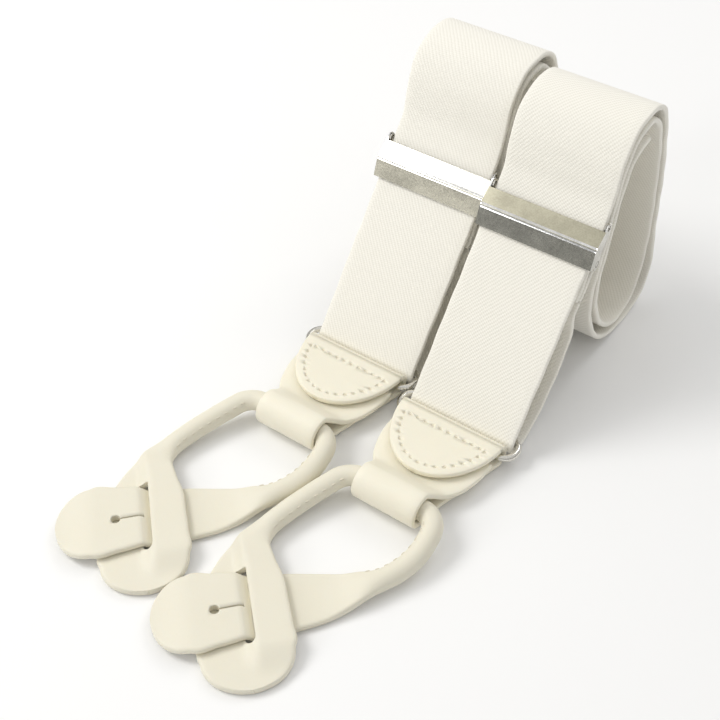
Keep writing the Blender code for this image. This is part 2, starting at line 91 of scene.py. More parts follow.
# Last stretch of the tongue, from the cord up to its end behind the flap: (y, z, half width)
TUCKED = (
    (-27.6, 6.2, 11.0), (-25.4, 4.6, 12.2), (-22.0, 4.02, 14.2), (-15.0, 4.0, 16.2),
    (-8.2, 4.0, 16.6),
)
TIP_DEPTH = 9.5
LEFT_NUDGE = -1.6
ROLL = (
    (45.4, 62.3), (46.9, 68.0), (48.5, 73.6), (51.4, 78.3), (56.0, 81.3), (61.5, 82.3),
    (67.0, 81.8), (71.6, 79.2), (75.0, 73.8), (77.6, 66.2), (80.4, 56.8), (82.0, 47.4),
    (83.4, 38.0), (85.2, 26.2), (87.6, 14.4), (86.0, 5.4), (79.6, 1.4), (71.0, 1.0),
    (63.0, 2.0), (55.6, 5.2), (49.4, 11.0), (44.8, 18.6), (42.2, 27.0), (42.0, 34.4),
    (43.4, 41.6), (45.2, 48.4), (46.6, 55.0), (48.0, 61.0), (49.4, 66.6), (51.3, 72.0),
    (54.6, 76.3), (59.6, 78.6), (65.4, 78.6), (69.8, 75.4), (72.8, 69.6), (75.0, 62.0),
    (77.0, 53.0), (78.4, 44.0), (79.6, 34.6), (80.2, 24.8), (79.0, 15.4), (75.2, 8.2),
    (68.6, 5.0), (61.4, 6.4), (55.0, 11.0), (49.8, 17.6), (46.4, 25.2), (45.2, 32.8),
    (45.8, 39.8), (47.5, 46.6), (49.0, 53.0), (50.4, 59.0), (52.2, 65.0), (55.0, 70.2),
    (59.4, 72.9), (64.4, 73.3),
)
RETURN = ((4.5, 1.2), (9.0, 1.8), (15.0, 4.6), (21.6, 10.2), (27.6, 18.0), (32.2, 26.4))
LONG_TAB = (
    (-3.4, -34.0, 6.0, 2.6, 2.6), (-1.4, -34.0, 6.0, 3.0, 3.0), (7.0, -34.0, 6.0, 3.0, 3.0),
    (11.2, -34.0, 6.0, 3.0, 3.0), (14.4, -36.6, 5.7, 3.0, 3.0), (15.6, -41.6, 5.0, 3.0, 3.0),
    (15.5, -47.2, 4.1, 3.0, 3.0), (14.2, -52.2, 3.4, 3.0, 3.0), (11.6, -57.6, 3.1, 3.1, 2.8),
    (7.4, -63.2, 3.4, 4.8, 1.7), (2.2, -68.8, 1.4, 7.2, 1.0), (-3.2, -74.2, 1.0, 8.6, 1.0),
    (-8.0, -79.0, 1.0, 9.5, 1.0), (-12.5, -83.6, 1.0, 9.9, 1.0), (-17.2, -88.6, 1.0, 10.9, 1.0),
    (-22.4, -93.8, 1.0, 11.3, 1.0),
)
LONG_TIP = (-29.2, -100.4)
LONG_HOLE = (-17.1, -89.4)
SHORT_TAB = (
    (-1.6, -34.0, 6.0, 3.0, 3.0), (-8.0, -34.0, 6.0, 3.0, 3.0), (-11.8, -34.0, 6.0, 3.0, 3.0),
    (-15.3, -36.3, 5.7, 3.0, 3.0), (-17.6, -41.2, 5.0, 3.0, 3.0), (-19.7, -47.2, 4.3, 3.0, 3.0),
    (-21.6, -53.4, 3.6, 3.0, 3.0), (-22.9, -59.6, 3.0, 3.1, 2.8), (-22.8, -65.6, 2.4, 4.4, 1.8),
    (-20.5, -71.8, 2.1, 7.7, 1.2), (-16.7, -78.0, 2.1, 10.7, 1.0), (-12.3, -84.2, 2.1, 12.0, 1.0),
    (-7.4, -89.2, 1.6, 12.2, 1.0), (-2.8, -93.9, 1.0, 11.9, 1.0),
)
SHORT_TIP = (4.0, -100.6)
SHORT_HOLE = (-4.9, -90.2)
SLIT_ALONG = (0.717, -0.697)
SLIT_LENGTH = 21.0
SLIT_HALF = 1.4
HOLE_RADIUS = 1.3
# The long tab's slit is narrow and closed; the short tab's lets the long tab through
LONG_SLIT_ALONG = (0.67, 0.74)
LONG_SLIT_LENGTH = 7.6
LONG_SLIT_HALF = 0.22
# Metres, deeper than any tab
CUTTER_HEIGHT = 0.02

# Hidden back parts: patch outline (x, y) and heights, and (y, z) routes of the strap and its end
PATCH_PLAN = ((-35, 67), (-1, 67), (-1, 60.6), (27, 60.6), (27, 71.0), (-35, 71.0))
PATCH_HEIGHTS = (70.0, 71.6)
BACK_STRAP_WIDTH = 34.0
BACK_DROP = (
    (70.6, 68.7), (67.2, 68.7), (64.8, 67.4), (63.6, 64.0), (63.2, 54.0),
    (64.2, 42.0), (66.0, 30.0), (66.4, 20.0),
)
END_DROP = ((66.1, 41.0), (67.6, 32.0), (68.4, 24.0), (68.4, 13.0))
END_HALF = 13.0
END_LEATHER = 1.5

RUN_ALONG = (math.cos(RUN_SLOPE), math.sin(RUN_SLOPE))
RUN_OUT = (-math.sin(RUN_SLOPE), math.cos(RUN_SLOPE))
RUN_START = (
    BACK_BAR[0] + BEND_RADIUS * RUN_OUT[0],
    BACK_BAR[1] + BEND_RADIUS * RUN_OUT[1],
)

# ---------- looks: weave and stitches (mm), tones (linear RGB) ----------

RIB_PITCH = 0.95
RIB_LEAN = math.radians(52)
YARN_PITCH = 0.62
EDGE_YARN_PITCH = 0.8
SELVAGE = 1.3
SELVAGE_FADE = 0.15
STITCH_PITCH = 2.6
SEAM_START_Y = -36.5
# Length and radius of each kind of stitch, and of the dent that a flap stitch sits in (m)
LOOP_STITCH = (0.0016, 0.00022)
SEAM_STITCH = (0.0015, 0.00026)
FLAP_STITCH = (0.00085, 0.00018)
FLAP_DENT = (0.0013, 0.00048)

WEAVE_VALLEY_SHADE = (0.80, 0.775, 0.69)
WEAVE_PALE = (0.955, 0.93, 0.86)
WEAVE_SOIL = (0.86, 0.825, 0.71)
HIDE_PALE = (0.90, 0.86, 0.725)
HIDE_DEEP = (0.865, 0.815, 0.66)
HIDE_PORE = (0.76, 0.70, 0.56)
THREAD_TONE = (0.78, 0.73, 0.60)
SHADE_TONE = (0.16, 0.14, 0.11)
NICKEL_TONE = (0.80, 0.78, 0.72)
# Painted reflection: lit and shaded plate tones for each cover's upper and lower slope, with the
# left cover lit brighter than the right
PLATE_PAINTED_REFLECTION_TONES = {
    "right": ((0.40, 0.38, 0.295), (0.32, 0.315, 0.28)),
    "left": ((0.74, 0.725, 0.65), (0.70, 0.67, 0.56)),
}
PLATE_ROUGH = {
    "right": ((0.28, 0.42), (0.20, 0.36)),
    "left": ((0.20, 0.34), (0.20, 0.34)),
}

# ---------- camera and light (m, degrees, W) ----------

CAMERA_TURN = 35.02
CAMERA_RISE = 44.69
CAMERA_DISTANCE = 0.34945
CAMERA_TARGET = (-0.00295, -0.00315, 0.020)
LENS = 61.0
LIGHT_TARGET = (0.0, 0.0, 0.03)
# Name, place, size, power, colour
LIGHTS = (
    ("key", (-0.62, -0.25, 0.75), 0.45, 4.0, (1.0, 0.99, 0.97)),
    ("strip", (-0.45, -0.80, 0.44), 0.3, 1.3, (1.0, 1.0, 1.0)),
    ("rim", (0.1, 0.7, 0.7), 0.5, 1.4, (1.0, 1.0, 1.0)),
)
SKY_TONE = (1.0, 0.995, 0.98, 1.0)
SKY_DIM = 0.28
SKY_BRIGHT = 0.78
FLOOR_TONE = (0.93, 0.93, 0.93, 1.0)
FLOOR_HALF = 2.0
FLOOR_DROP = 0.0004


# ---------- camera, light and stage ----------


def aim(made, target):
    made.rotation_euler = (Vector(target) - made.location).to_track_quat("-Z", "Y").to_euler()


def build_camera():
    data = bpy.data.cameras.new("camera")
    data.lens = LENS
    data.sensor_width = 36.0
    data.clip_start = 0.01
    made = bpy.data.objects.new("camera", data)
    bpy.context.scene.collection.objects.link(made)
    turn, rise = math.radians(CAMERA_TURN), math.radians(CAMERA_RISE)
    target = Vector(CAMERA_TARGET)
    back = Vector(
        (math.sin(turn) * math.cos(rise), -math.cos(turn) * math.cos(rise), math.sin(rise))
    )
    made.location = target + back * CAMERA_DISTANCE
    aim(made, target)
    bpy.context.scene.camera = made


def build_light(name, spot, size, power, color):
    data = bpy.data.lights.new(name, "AREA")
    data.shape = "DISK"
    data.size = size
    data.energy = power
    data.color = color
    made = bpy.data.objects.new(name, data)
    bpy.context.scene.collection.objects.link(made)
    made.location = spot
    aim(made, LIGHT_TARGET)


def build_floor():
    mesh = bpy.data.meshes.new("floor")
    build = bmesh.new()
    bmesh.ops.create_grid(build, x_segments=1, y_segments=1, size=FLOOR_HALF)
    build.to_mesh(mesh)
    build.free()
    floor = bpy.data.objects.new("floor", mesh)
    bpy.context.scene.collection.objects.link(floor)
    floor.location.z = -FLOOR_DROP
    paper = bpy.data.materials.new("pale_floor")
    paper.use_nodes = True
    shader = paper.node_tree.nodes["Principled BSDF"]
    shader.inputs["Base Color"].default_value = FLOOR_TONE
    shader.inputs["Roughness"].default_value = 0.9
    shader.inputs["Specular IOR Level"].default_value = 0.1
    mesh.materials.append(paper)


def build_sky():
    """Soft studio light that grows from the horizon up."""
    world = bpy.data.worlds.new("studio")
    bpy.context.scene.world = world
    world.use_nodes = True
    tree = world.node_tree
    back = tree.nodes["Background"]
    place = tree.nodes.new("ShaderNodeTexCoord")
    parts = tree.nodes.new("ShaderNodeSeparateXYZ")
    sky = tree.nodes.new("ShaderNodeMapRange")
    sky.inputs["From Min"].default_value = -0.1
    sky.inputs["To Min"].default_value = SKY_DIM
    sky.inputs["To Max"].default_value = SKY_BRIGHT
    tree.links.new(place.outputs["Generated"], parts.inputs[0])
    tree.links.new(parts.outputs["Z"], sky.inputs["Value"])
    tree.links.new(sky.outputs["Result"], back.inputs["Strength"])
    back.inputs["Color"].default_value = SKY_TONE
    bpy.context.scene.view_settings.view_transform = "Standard"


build_camera()
build_floor()
build_sky()
for light in LIGHTS:
    build_light(*light)


# ---------- material helpers ----------


class Nodes:
    """Short calls for wiring one material's nodes."""

    def __init__(self, name):
        self.material = bpy.data.materials.new(name)
        self.material.use_nodes = True
        self.tree = self.material.node_tree
        self.shader = self.tree.nodes["Principled BSDF"]

    def put(self, kind, inputs=(), **settings):
        made = self.tree.nodes.new(kind)
        for key, value in settings.items():
            setattr(made, key, value)
        for key, value in dict(inputs).items():
            self.feed(made.inputs[key], value)
        return made

    def feed(self, socket, value):
        if isinstance(value, bpy.types.NodeSocket):
            self.tree.links.new(value, socket)
        else:
            socket.default_value = value

    def math(self, operation, first, second=0.0, third=0.0):
        made = self.put("ShaderNodeMath", operation=operation)
        for socket, value in zip(made.inputs, (first, second, third)):
            self.feed(socket, value)
        return made.outputs[0]

    def mix(self, share, first, second):
        made = self.put("ShaderNodeMix", data_type="RGBA")
        self.feed(made.inputs[0], share)
        self.feed(made.inputs[6], (*first, 1.0) if isinstance(first, tuple) else first)
        self.feed(made.inputs[7], (*second, 1.0) if isinstance(second, tuple) else second)
        return made.outputs[2]

    def noise(self, where, scale, detail=2.0, rough=0.5):
        inputs = {"Vector": where, "Scale": scale, "Detail": detail, "Roughness": rough}
        return self.put("ShaderNodeTexNoise", inputs).outputs["Fac"]

    def ramp(self, value, start, stop, low=0.0, high=1.0):
        """A value brought from start..stop into low..high, held at both ends."""
        inputs = {"Value": value, "From Min": start, "From Max": stop}
        inputs |= {"To Min": low, "To Max": high}
        return self.put("ShaderNodeMapRange", inputs).outputs["Result"]

    def bump(self, height, distance, strength=1.0):
        inputs = {"Height": height, "Distance": distance, "Strength": strength}
        return self.put("ShaderNodeBump", inputs).outputs["Normal"]

    def finish(self, **inputs):
        for key, value in inputs.items():
            self.feed(self.shader.inputs[key.replace("_", " ")], value)
        return self.material


def webbing_material(name, lean):
    """Elastic weave: fine ribs that lean one way, crossed by the yarn, with plain edges."""
    made = Nodes(name)
    spot = made.put("ShaderNodeUVMap", uv_map="weave").outputs["UV"]
    parts = made.put("ShaderNodeSeparateXYZ", {"Vector": spot})
    along, across = parts.outputs["X"], parts.outputs["Y"]
    place = made.put("ShaderNodeTexCoord").outputs["Object"]
    wander = made.math("MULTIPLY", made.noise(place, 700.0, 2.0), 0.00035)
    slant = made.math("MULTIPLY", across, lean * math.sin(RIB_LEAN))
    slope = made.math("MULTIPLY_ADD", along, math.cos(RIB_LEAN), slant)
    slope = made.math("ADD", slope, wander)
    rib = made.math("SINE", made.math("MULTIPLY", slope, 2 * math.pi / (RIB_PITCH * MM)))
    rib = made.math("MULTIPLY_ADD", rib, 0.5, 0.5)
    rib = made.math("POWER", rib, 0.7)
    cross = made.math("MULTIPLY_ADD", along, 0.82, made.math("MULTIPLY", across, -lean * 0.57))
    yarn = made.math("SINE", made.math("MULTIPLY", cross, 2 * math.pi / (YARN_PITCH * MM)))
    yarn = made.math("MULTIPLY_ADD", yarn, 0.5, 0.5)
    height = made.math("MULTIPLY_ADD", yarn, 0.45, made.math("MULTIPLY", rib, 0.75))
    edge = made.math("ABSOLUTE", across)
    inner = (WEB_WIDTH / 2 - SELVAGE) * MM
    fade = SELVAGE_FADE * MM
    border = made.ramp(edge, inner - fade, inner + fade)
    pace = 2 * math.pi / (EDGE_YARN_PITCH * MM)
    ladder = made.math("SINE", made.math("MULTIPLY", along, pace))
    ladder = made.math("MULTIPLY_ADD", ladder, 0.2, 0.72)
    body = made.math("MULTIPLY", height, made.math("SUBTRACT", 1.0, border))
    height = made.math("MULTIPLY_ADD", ladder, border, body)
    fuzz = made.noise(place, 5200.0, 2.0, 0.6)
    height = made.math("MULTIPLY_ADD", fuzz, 0.3, height)
    # Painted shade: the colour darkens toward the weave's low parts, between ribs and yarns
    shade = made.ramp(height, 0.05, 1.2)
    color = made.mix(shade, WEAVE_VALLEY_SHADE, WEAVE_PALE)
    soil = made.noise(place, 45.0, 3.0, 0.55)
    soil = made.math("MULTIPLY", soil, 0.14)
    color = made.mix(soil, color, WEAVE_SOIL)
    made.shader.inputs["Sheen Weight"].default_value = 0.25
    made.shader.inputs["Sheen Roughness"].default_value = 0.5
    made.shader.inputs["Specular IOR Level"].default_value = 0.25
    return made.finish(Base_Color=color, Roughness=0.88, Normal=made.bump(height, 0.0001, 0.6))


def leather_material(name, shade=1.0):
    """Smooth ivory hide with a fine pebble, soft swells and slightly darker pores."""
    tones = (HIDE_PALE, HIDE_DEEP, HIDE_PORE)
    pale, deep, dark = (tuple(shade * part for part in tone) for tone in tones)
    made = Nodes(name)
    place = made.put("ShaderNodeTexCoord").outputs["Object"]
    cells = made.put(
        "ShaderNodeTexVoronoi", {"Vector": place, "Scale": 1500.0}, feature="SMOOTH_F1"
    ).outputs["Distance"]
    grain = made.noise(place, 2600.0, 3.0, 0.6)
    swell = made.noise(place, 90.0, 3.0, 0.5)
    height = made.math("MULTIPLY_ADD", cells, 0.5, made.math("MULTIPLY", grain, 0.45))
    height = made.math("MULTIPLY_ADD", swell, 2.4, height)
    tint = made.math("MULTIPLY", swell, 0.55)
    color = made.mix(tint, pale, deep)
    pore = made.ramp(grain, 0.62, 0.78, 0.0, 0.3)
    color = made.mix(pore, color, dark)
    rough = made.ramp(grain, 0.0, 1.0, 0.42, 0.6)
    made.shader.inputs["Specular IOR Level"].default_value = 0.4
    made.shader.inputs["Subsurface Weight"].default_value = 0.08
    made.shader.inputs["Subsurface Radius"].default_value = (0.002, 0.0015, 0.001)
    return made.finish(Base_Color=color, Roughness=rough, Normal=made.bump(height, 0.00007, 0.7))


def thread_material(name, color):
    """Twisted sewing thread."""
    made = Nodes(name)
    place = made.put("ShaderNodeTexCoord").outputs["Object"]
    twist = made.noise(place, 3800.0, 2.0, 0.7)
    tone = made.mix(twist, color, tuple(0.86 * part for part in color))
    return made.finish(Base_Color=tone, Roughness=0.75, Normal=made.bump(twist, 0.00006))


def nickel_material(name, tone, rough):
    """Polished plate with faint scuffs and slow waves from the pressing."""
    made = Nodes(name)
    place = made.put("ShaderNodeTexCoord").outputs["Object"]
    scuff = made.noise(place, 1400.0, 4.0, 0.7)
    wave = made.noise(place, 160.0, 2.0, 0.5)
    low, high = rough
    roughness = made.ramp(scuff, 0.3, 0.75, low, high)
    speck = made.noise(place, 2600.0, 2.0, 0.5)
    cloud = made.math("MULTIPLY_ADD", speck, 0.5, made.math("MULTIPLY", wave, 0.6))
    cloud = made.ramp(cloud, 0.4, 0.72)
    dull = tuple(0.76 * part for part in tone)
    bright = tuple(min(1.0, 1.1 * part) for part in tone)
    color = made.mix(cloud, dull, bright)
    height = made.math("MULTIPLY_ADD", wave, 3.0, scuff)
    made.shader.inputs["Metallic"].default_value = 1.0
    normal = made.bump(height, 0.00003, 0.35)
    return made.finish(Base_Color=color, Roughness=roughness, Normal=normal)


WEAVE = {
    "right": webbing_material("weave_right", -1.0),
    "left": webbing_material("weave_left", 1.0),
}
HIDE = leather_material("ivory_hide")
TAB_HIDE = leather_material("ivory_tab_hide", 0.9)
THREAD = thread_material("ivory_thread", THREAD_TONE)
NICKEL = nickel_material("nickel", NICKEL_TONE, (0.10, 0.24))
PAINTED_REFLECTION_PLATES = {}
for side, tones in PLATE_PAINTED_REFLECTION_TONES.items():
    PAINTED_REFLECTION_PLATES[side] = tuple(
        nickel_material(f"plate_{side}_{label}", tone, rough)
        for label, tone, rough in zip(("upper", "lower"), tones, PLATE_ROUGH[side])
    )
# Painted highlight: a near-white plate tone along each cover's crease
CREASE_PAINTED_HIGHLIGHT = nickel_material("crease_painted_highlight", (0.96, 0.955, 0.93), (0.10, 0.20))
PIT = leather_material("stitch_pit")
# Painted shade for the grooves of the pressed crosses, made with the thread's twist
CROSS_GROOVE_SHADE = thread_material("hole_shade", SHADE_TONE)


# ---------- mesh helpers ----------


def smooth_route(points, step):
    """A smooth line through the points, with one point about every step."""
    route = [np.array(point, float) for point in points]
    ends = [2 * route[0] - route[1], *route, 2 * route[-1] - route[-2]]
    found = []
    for a, b, c, d in zip(ends, ends[1:], ends[2:], ends[3:]):
        times = [0.0]
        for first, second in ((a, b), (b, c), (c, d)):
            times.append(times[-1] + np.linalg.norm((second - first)[:3]) ** 0.5)
        t0, t1, t2, t3 = times
        count = max(1, math.ceil(np.linalg.norm((c - b)[:3]) / step))
        for index in range(count):
            t = t1 + (t2 - t1) * index / count
            ab = (t1 - t) / (t1 - t0) * a + (t - t0) / (t1 - t0) * b
            bc = (t2 - t) / (t2 - t1) * b + (t - t1) / (t2 - t1) * c
            cd = (t3 - t) / (t3 - t2) * c + (t - t2) / (t3 - t2) * d
            abc = (t2 - t) / (t2 - t0) * ab + (t - t0) / (t2 - t0) * bc
            bcd = (t3 - t) / (t3 - t1) * bc + (t - t1) / (t3 - t1) * cd
            found.append((t2 - t) / (t2 - t1) * abc + (t - t1) / (t2 - t1) * bcd)
    found.append(route[-1])
    return np.array(found)


def arc(center, radius, start, stop, count):
    """Points of a circle from one angle to another, in degrees."""
    angles = np.radians(np.linspace(start, stop, count))
    return [(center[0] + radius * math.cos(a), center[1] + radius * math.sin(a)) for a in angles]


def on_run(along, out):
    """(y, z) of a place on the straight run: how far along it, and how far out from it."""
    return (
        RUN_START[0] + along * RUN_ALONG[0] + out * RUN_OUT[0],
        RUN_START[1] + along * RUN_ALONG[1] + out * RUN_OUT[1],
    )


def ease(value, low, high):
    """0 at low, 1 at high, smooth between."""
    part = min(1.0, max(0.0, (value - low) / (high - low)))
    return part * part * (3 - 2 * part)


def add_mesh(name, build, material, smooth=True):
    mesh = bpy.data.meshes.new(name)
    bmesh.ops.recalc_face_normals(build, faces=build.faces)
    for face in build.faces:
        face.smooth = smooth
    build.to_mesh(mesh)
    build.free()
    mesh.materials.append(material)
    made = bpy.data.objects.new(name, mesh)
    bpy.context.scene.collection.objects.link(made)
    return made


def skin(name, rings, material, places=None):
    """A closed skin through rings of points; places gives each point's weave coordinates."""
    build = bmesh.new()
    levels = [[build.verts.new(point) for point in ring] for ring in rings]
    count = len(rings[0])
    weave = build.loops.layers.uv.new("weave") if places else None
    for row, (low, high) in enumerate(zip(levels, levels[1:])):
        for i in range(count):
            j = (i + 1) % count
            face = build.faces.new((low[i], low[j], high[j], high[i]))
            if weave:
                spots = ((row, i), (row, j), (row + 1, j), (row + 1, i))
                for loop, (r, c) in zip(face.loops, spots):
                    loop[weave].uv = places[r][c]
    build.faces.new(levels[0][::-1])
    build.faces.new(levels[-1])
    return add_mesh(name, build, material)


def band_section(half, thick):
    """Half-round edges and flat faces, (across, out), going once round."""
    round_edge = thick * 0.5
    flat = half - round_edge * 0.8
    across = np.linspace(-flat, flat, 15)
    top = [(x, thick / 2) for x in across[::-1]]
    low = [(x, -thick / 2) for x in across]
    turn = [(0.55, 0.42), (0.8, 0.0), (0.55, -0.42)]
    right = [(flat + round_edge * a, thick * b) for a, b in turn]
    left = [(-flat - round_edge * a, thick * b) for a, b in turn]
    return top[::-1] + right + low[::-1] + left[::-1]


def band(name, route, half, thick, center, material):
    """A strip of webbing along a (y, z) route in mm, centred on a point in metres."""
    route = np.array(route, float)
    ahead = np.gradient(route, axis=0)
    ahead /= np.linalg.norm(ahead, axis=1)[:, None]
    side = np.stack([-ahead[:, 1], ahead[:, 0]], axis=1)
    steps = np.linalg.norm(np.diff(route, axis=0), axis=1)
    length = np.concatenate([[0.0], np.cumsum(steps)])
    section = band_section(half, thick)
    rings, places = [], []
    for (y, z), (ny, nz), run in zip(route, side, length):
        wave = 1 + 0.004 * math.sin(run * 0.55) + 0.003 * math.sin(run * 0.21 + 1.3)
        ring, place = [], []
        for x, out in section:
            spot = Vector((x * wave, y + ny * out, z + nz * out)) * MM
            ring.append(center + spot)
            place.append((run * MM, x * MM))
        rings.append(ring)
        places.append(place)
    made = skin(name, rings, material, places)
    return made, length[-1] * MM


def cut(made, cutter, operation="DIFFERENCE"):
    """Apply a Boolean and drop the cutter."""
    modifier = made.modifiers.new("cut", "BOOLEAN")
    modifier.operation = operation
    modifier.solver = "EXACT"
    modifier.object = cutter
    bpy.context.view_layer.update()
    graph = bpy.context.evaluated_depsgraph_get()
    mesh = bpy.data.meshes.new_from_object(made.evaluated_get(graph))
    made.modifiers.clear()
    made.data = mesh
    bpy.data.objects.remove(cutter)


def capsules(name, spots, size, material):
    """Small rounded stitches in one mesh: each spot is (place, direction, normal)."""
    length, radius = size
    build = bmesh.new()
    for place, along, normal in spots:
        along = Vector(along).normalized()
        normal = Vector(normal).normalized()
        side = normal.cross(along).normalized()
        turn = Matrix((along, side, normal)).transposed().to_4x4()
        grow = Matrix.Diagonal((length / 2, radius, radius, 1.0))
        move = Matrix.Translation(place) @ turn @ grow
        bmesh.ops.create_uvsphere(build, u_segments=10, v_segments=6, radius=1.0, matrix=move)
    return add_mesh(name, build, material)


# ---------- webbing ----------


def strap_route():
    out_angle = 90 + math.degrees(RUN_SLOPE)
    bend = arc(BACK_BAR, BEND_RADIUS, 262, out_angle, 16)
    straight = [on_run(RUN_LENGTH * part / 40, 0) for part in range(1, 40)]
    rolled = smooth_route([on_run(RUN_LENGTH, 0), *ROLL], 1.0)
    return bend + straight + [tuple(p) for p in rolled]


def return_points(side):
    """The slack layer from the ring to the adjuster, shorter where the adjuster sits lower."""
    drop = ADJUSTER_DROP[side]
    shares = [1 - drop / 60 * min(1.0, index / 2) for index in range(len(RETURN))]
    rising = [(y * share, z * share) for (y, z), share in zip(RETURN, shares)]
    return [*rising, on_run(42.0 - drop, -6.35), on_run(46.0 - drop, -5.95)]


def lowered(side, stand):
    """Where an adjuster's own drawing goes, moved down its run."""
    drop = ADJUSTER_DROP[side] * MM
    return stand - Vector((0, RUN_ALONG[0], RUN_ALONG[1])) * drop


def build_webbing(side, stand):
    half = WEB_WIDTH / 2
    strap, length = band(f"{side}_strap_web", strap_route(), half, WEB - 0.1, stand, WEAVE[side])
    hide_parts(f"{side}_strap")
    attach(strap, "webbing")

    points = return_points(side)
    route = smooth_route(points, 1.0)
    back, length = band(f"{side}_return_web", route, half, WEB - 0.1, stand, WEAVE[side])
    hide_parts(f"{side}_return_run")
    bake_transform(back)

    stand = lowered(side, stand)
    tail = [on_run(46.0, -2.95), on_run(50.0, -2.95), on_run(54.0, -2.6)]
    around = []
    for angle in range(90, -91, -20):
        turn = math.radians(angle)
        reach = BAR_RADIUS + 0.25 + WEB / 2
        around.append(on_run(BAR[0] + reach * math.cos(turn), BAR[1] + reach * math.sin(turn)))
    rear = [on_run(54.4, -5.85), on_run(50.4, -5.75), on_run(46.4, -5.9)]
    route = smooth_route(tail + around + rear, 0.6)
    loop, length = band(f"{side}_loop_web", route, half, WEB - 0.1, stand, WEAVE[side])
    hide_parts(f"{side}_end_loop")
    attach(loop, f"{side}_adjuster")
    spots = []
    out = Vector((0, *RUN_OUT))
    for index in range(15):
        x = (index - 7) * 2.2 * MM
        y, z = on_run(51.0, -5.76 - WEB / 2 + 0.05)
        spots.append((stand + Vector((x, y * MM, z * MM)), (1, 0, 0), -out))
    seam = capsules(f"{side}_loop_stitches", spots, LOOP_STITCH, THREAD)
    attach(seam, f"{side}_adjuster")


# ---------- nickel ----------


def build_ring(side, stand):
    depth = (BACK_BAR[0] - FRONT_BAR[0]) / 2
    inset_x = RING_HALF_WIDTH - RING_CORNER
    inset_y = depth - RING_CORNER
    spots = []
    for sign_x, sign_y, start in ((1, 1, 0), (-1, 1, 90), (-1, -1, 180), (1, -1, 270)):
        center = (sign_x * inset_x, sign_y * inset_y)
        spots += arc(center, RING_CORNER, start, start + 90, 14)
    curve = bpy.data.curves.new(f"{side}_ring_wire", "CURVE")
    curve.dimensions = "3D"
    curve.bevel_depth = WIRE / 2 * MM
    curve.bevel_resolution = 8
    line = curve.splines.new("POLY")
    line.points.add(len(spots) - 1)
    for point, (x, y) in zip(line.points, spots):
        point.co = (x * MM, (y - depth) * MM, 0.0, 1.0)
    line.use_cyclic_u = True
    line.use_smooth = True
    curve.materials.append(NICKEL)
    made = bpy.data.objects.new(curve.name, curve)
    bpy.context.scene.collection.objects.link(made)
    made.location = stand + Vector((0, BACK_BAR[0], BACK_BAR[1])) * MM
    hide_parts(f"{side}_ring")
    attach(made, f"{side}_ring")


def slab(name, outline, x_from, x_to, stand, material):
    """An outline in the run's own (along, out) plane, given its width across X."""
    build = bmesh.new()
    ends = []
    for x in (x_from, x_to):
        ring = []
        for along, out in outline:
            y, z = on_run(along, out)
            ring.append(build.verts.new(stand + Vector((x, y, z)) * MM))
        ends.append(ring)
    count = len(outline)
    for i in range(count):
        j = (i + 1) % count
        build.faces.new((ends[0][i], ends[0][j], ends[1][j], ends[1][i]))
    build.faces.new(ends[0][::-1])
    build.faces.new(ends[1])
    return add_mesh(name, build, material, smooth=False)


def paint_plate(cover, side):
    """Give the two slopes of the outer face and the crease between them their own tones: painted
    reflection, lit or shaded, on the slopes and a painted highlight along the crease.
    """
    data = cover.data
    data.materials.clear()
    for material in (NICKEL, *PAINTED_REFLECTION_PLATES[side], CREASE_PAINTED_HIGHLIGHT):
        data.materials.append(material)
    upward, outward = Vector((0, *RUN_ALONG)), Vector((0, *RUN_OUT))
    # Outer faces take their painted reflection tone by slope, and the crease takes its painted
    # highlight
    for face in data.polygons:
        face.use_smooth = True
        face.material_index = 0
        tilt, front = face.normal.dot(upward), face.normal.dot(outward)
        if front > 0.8:
            face.material_index = 3 if abs(tilt) < 0.27 else (1 if tilt > 0 else 2)


